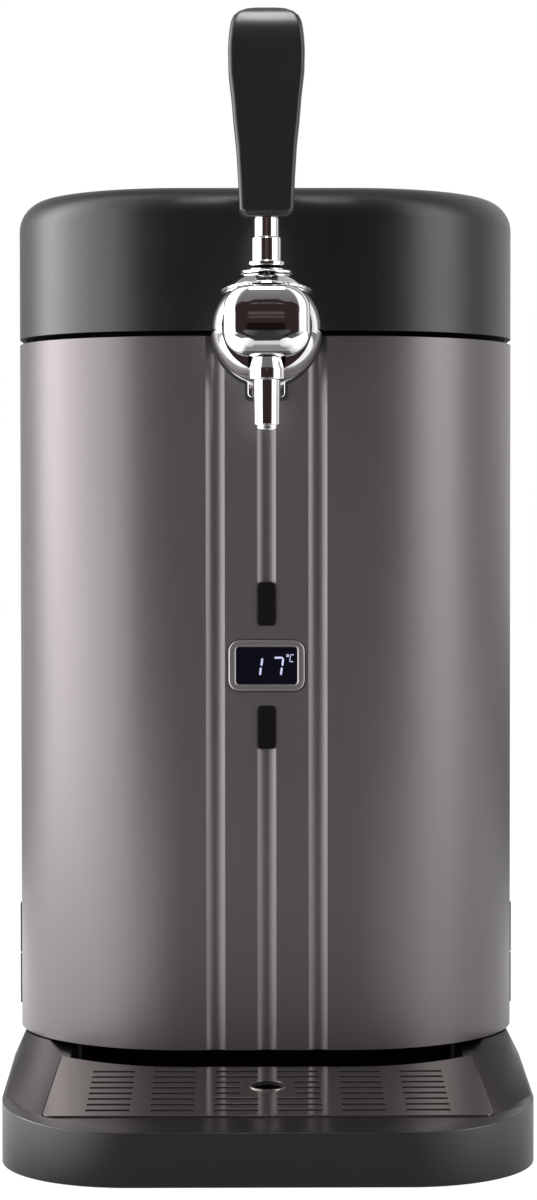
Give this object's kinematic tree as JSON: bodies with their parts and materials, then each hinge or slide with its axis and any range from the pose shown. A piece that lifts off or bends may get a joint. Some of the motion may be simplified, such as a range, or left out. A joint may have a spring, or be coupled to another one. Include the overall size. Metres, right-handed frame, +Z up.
{
  "type": "mini keg beer dispenser",
  "caption": "Countertop cooled beer dispenser for a small keg: upright rounded body with hinged lid, chrome ball tap with lever handle, temperature display and pull-out drip tray.",
  "frame": {"origin": "bottom centre of the whole object's box, on the table under the feet", "axes": "+Z up; the front with the tap faces -Y; +X is to the viewer's right when facing the front"},
  "size_m": [0.2326, 0.418, 0.494],
  "materials": {
    "gunmetal": "dark gunmetal, satin lacquer on steel",
    "black_satin": "black moulded plastic, fine satin texture",
    "black_gloss": "black moulded plastic, smooth",
    "chrome": "polished chrome plate",
    "steel": "plain steel",
    "aluminium": "plain aluminium",
    "brass": "plain brass",
    "rubber": "black rubber",
    "dark_steel": "dark glossy drip plate",
    "foam": "pale rigid foam",
    "display_glass": "dark display window",
    "board_green": "green lacquered circuit board",
    "ceramic": "white ceramic",
    "silicone": "milky silicone hose"
  },
  "bodies": {
    "casing": {"base_pan": "black_satin", "feet": "rubber", "front_shell": "gunmetal", "rear_cover": "black_satin", "side_vents": "black_satin", "top_deck": "black_satin", "insulation_jacket": "foam", "cooling_chamber": "aluminium", "bay_cover": "black_satin", "cover_screws": "steel", "cold_block": "aluminium", "peltier_module": "ceramic", "heat_sink": "aluminium", "fan_frame": "black_satin", "fan_screws": "steel", "temperature_sensor": "ceramic", "control_board": "board_green", "board_screws": "steel", "display_bezel": "gunmetal", "display_window": "display_glass", "display_module": "black_gloss", "tact_switches": "black_gloss", "power_supply": "black_satin", "mains_inlet": "black_gloss", "inlet_pins": "brass", "switch_frame": "black_gloss", "wiring_loom": "rubber", "tap_gasket": "rubber", "tap_flange": "chrome", "tap_shank": "steel", "shank_nut": "brass", "tap_body": "chrome", "tap_front_cap": "chrome", "tap_bonnet": "chrome", "spout_collar": "chrome", "spout_tube": "chrome", "pivot_pin": "steel", "beer_hose": "silicone", "keg_coupler": "black_gloss", "body_hinge_leaves": "steel", "hinge_pins": "steel", "body_hinge_screws": "steel"},
    "lid": {"lid_shell": "black_satin", "lid_liner": "black_satin", "lid_insulation": "foam", "lid_gasket": "rubber", "lid_hinge_leaves": "steel", "lid_hinge_screws": "steel"},
    "lever": {"lever_arm": "steel", "lever_stem": "chrome", "handle_grip": "black_satin", "slot_cover": "chrome"},
    "plunger": {"valve_plunger": "steel", "valve_seal": "rubber"},
    "fan_wheel": {"fan_rotor": "black_gloss"},
    "upper_button": {"button_up": "black_gloss"},
    "lower_button": {"button_down": "black_gloss"},
    "rocker": {"switch_rocker": "black_gloss"},
    "tray": {"drip_tray": "black_satin"},
    "plate": {"drip_plate": "dark_steel"}
  },
  "joints": [
    {"name": "lid_hinge", "type": "hinge", "parent": "casing", "child": "lid", "pos_m": [0, 0.2045, 0.35325], "axis": [-1, 0, 0], "range_deg": [0, 80]},
    {"name": "tap_lever", "type": "hinge", "parent": "casing", "child": "lever", "pos_m": [0, -0.1105, 0.35375], "axis": [1, 0, 0], "range_deg": [0, 18]},
    {"name": "valve_slide", "type": "slide", "parent": "casing", "child": "plunger", "axis": [0, 1, 0], "range_m": [0, 0.004]},
    {"name": "fan_spin", "type": "hinge", "parent": "casing", "child": "fan_wheel", "pos_m": [0, 0.18, 0.2], "axis": [0, 1, 0], "continuous": true},
    {"name": "upper_button_press", "type": "slide", "parent": "casing", "child": "upper_button", "axis": [0, 1, 0], "range_m": [0, 0.001], "stiffness_N_per_m": 800, "springref_m": -0.0005},
    {"name": "lower_button_press", "type": "slide", "parent": "casing", "child": "lower_button", "axis": [0, 1, 0], "range_m": [0, 0.001], "stiffness_N_per_m": 800, "springref_m": -0.0005},
    {"name": "power_rocker", "type": "hinge", "parent": "casing", "child": "rocker", "pos_m": [-0.016, 0.196, 0.081], "axis": [-1, 0, 0], "range_deg": [0, 12]},
    {"name": "tray_slide", "type": "slide", "parent": "casing", "child": "tray", "axis": [0, -1, 0], "range_m": [0, 0.12]},
    {"name": "plate_lift", "type": "slide", "parent": "tray", "child": "plate", "axis": [0, 0, 1], "range_m": [0, 0.01]}
  ],
  "couplings": [
    {"joint": "valve_slide", "follows": "tap_lever", "m_per_rad": 0.01}
  ]
}
